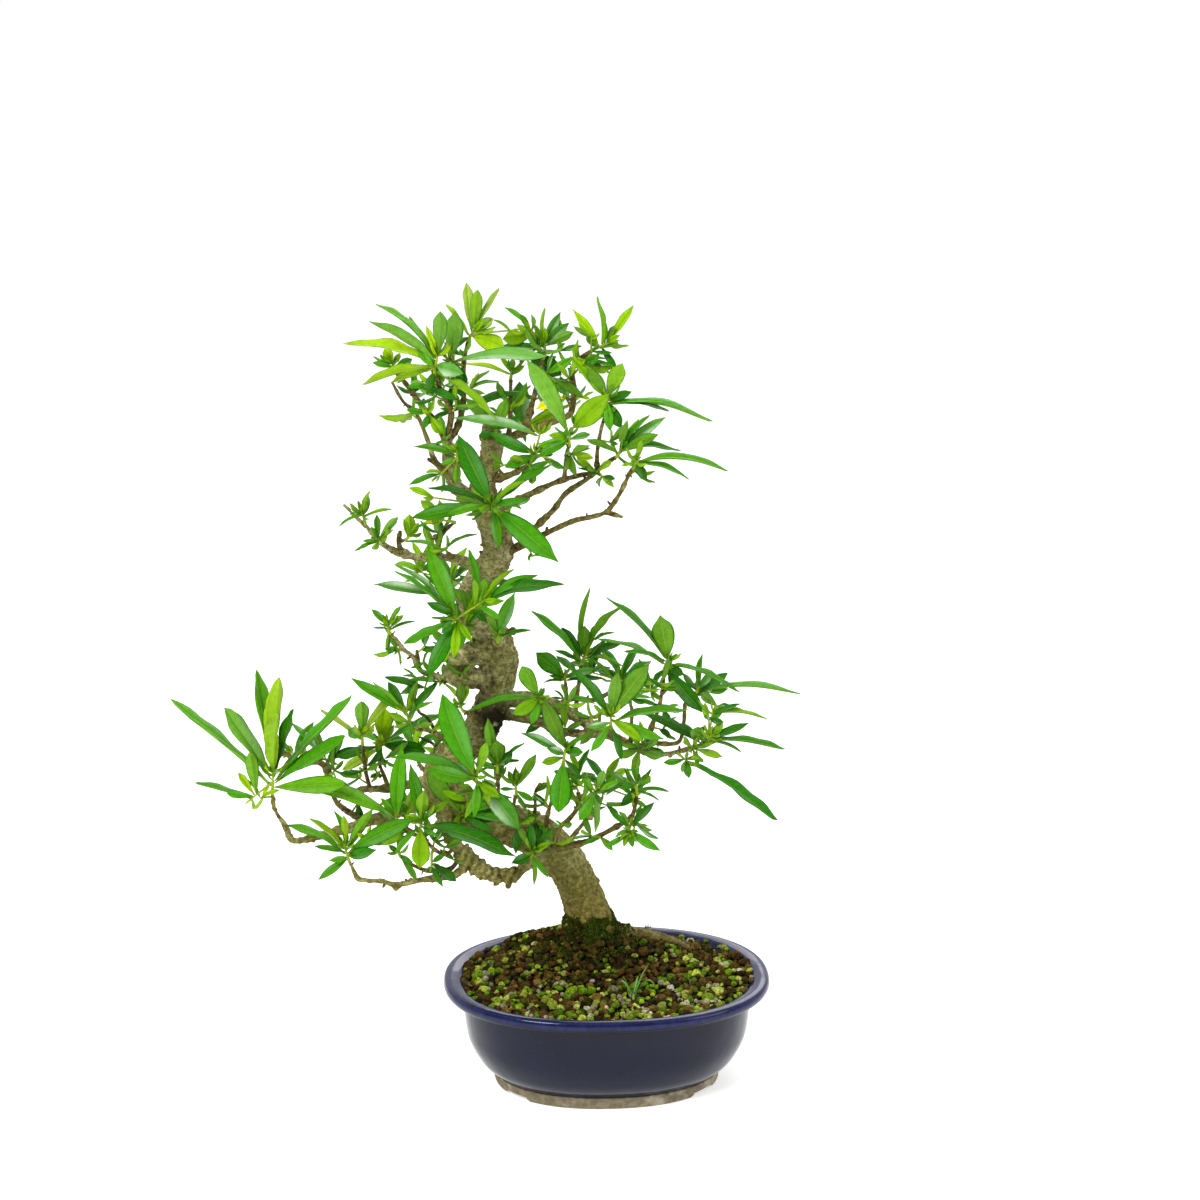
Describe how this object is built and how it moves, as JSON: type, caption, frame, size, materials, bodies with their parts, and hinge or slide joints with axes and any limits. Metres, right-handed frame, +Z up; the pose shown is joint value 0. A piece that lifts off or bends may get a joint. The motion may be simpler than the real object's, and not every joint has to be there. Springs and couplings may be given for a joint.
{
  "type": "gardenia bonsai",
  "caption": "Gardenia bonsai with a winding trunk, open tiers of lance-shaped leaves and an oval dark blue glazed pot filled with granular soil.",
  "frame": {"origin": "under the middle of the whole, on the surface that the pot's foot stands on", "axes": "+Z up along the tree's height, +X along the pot's long side to the right, +Y to the back"},
  "size_m": [0.3796, 0.1906, 0.4859],
  "materials": {
    "glaze": "gloss",
    "bark": "matte",
    "leaf": "satin",
    "grass": "satin",
    "soil": "matte",
    "drain_mesh": "matte"
  },
  "bodies": {
    "root": {"drainage_mesh_left": "drain_mesh", "drainage_mesh_right": "drain_mesh", "grass_seedling": "grass", "pot": "glaze", "shoot_back_low_left": "leaf", "shoot_back_low_right": "leaf", "shoot_back_mid_left": "leaf", "shoot_back_mid_right": "leaf", "shoot_big_front": "leaf", "shoot_burl_front": "leaf", "shoot_centre_back": "leaf", "shoot_centre_bright": "leaf", "shoot_centre_front": "leaf", "shoot_crown_far": "leaf", "shoot_crown_front": "leaf", "shoot_crown_left": "leaf", "shoot_crown_low": "leaf", "shoot_crown_thin": "leaf", "shoot_e1": "leaf", "shoot_e2": "leaf", "shoot_e3": "leaf", "shoot_e4": "leaf", "shoot_e5": "leaf", "shoot_e7": "leaf", "shoot_e8": "leaf", "shoot_f1": "leaf", "shoot_f3": "leaf", "shoot_f4": "leaf", "shoot_f5": "leaf", "shoot_f6": "leaf", "shoot_f7": "leaf", "shoot_far_s": "leaf", "shoot_k": "leaf", "shoot_l": "leaf", "shoot_mid_s": "leaf", "shoot_middle_top": "leaf", "shoot_n1": "leaf", "shoot_near_s": "leaf", "shoot_p": "leaf", "shoot_q": "leaf", "shoot_q1": "leaf", "shoot_q2": "leaf", "shoot_q3": "leaf", "shoot_right_fan": "leaf", "shoot_right_low": "leaf", "shoot_right_mid": "leaf", "shoot_right_top": "leaf", "shoot_top": "leaf", "shoot_top_left": "leaf", "shoot_trunk_left": "leaf", "shoot_trunk_right": "leaf", "shoot_u": "leaf", "shoot_upper_front": "leaf", "shoot_v": "leaf", "shoot_v_back": "leaf", "shoot_w": "leaf", "shoot_w_low": "leaf", "shoot_yellow": "leaf", "soil": "soil", "wood": "bark"}
  },
  "joints": []
}
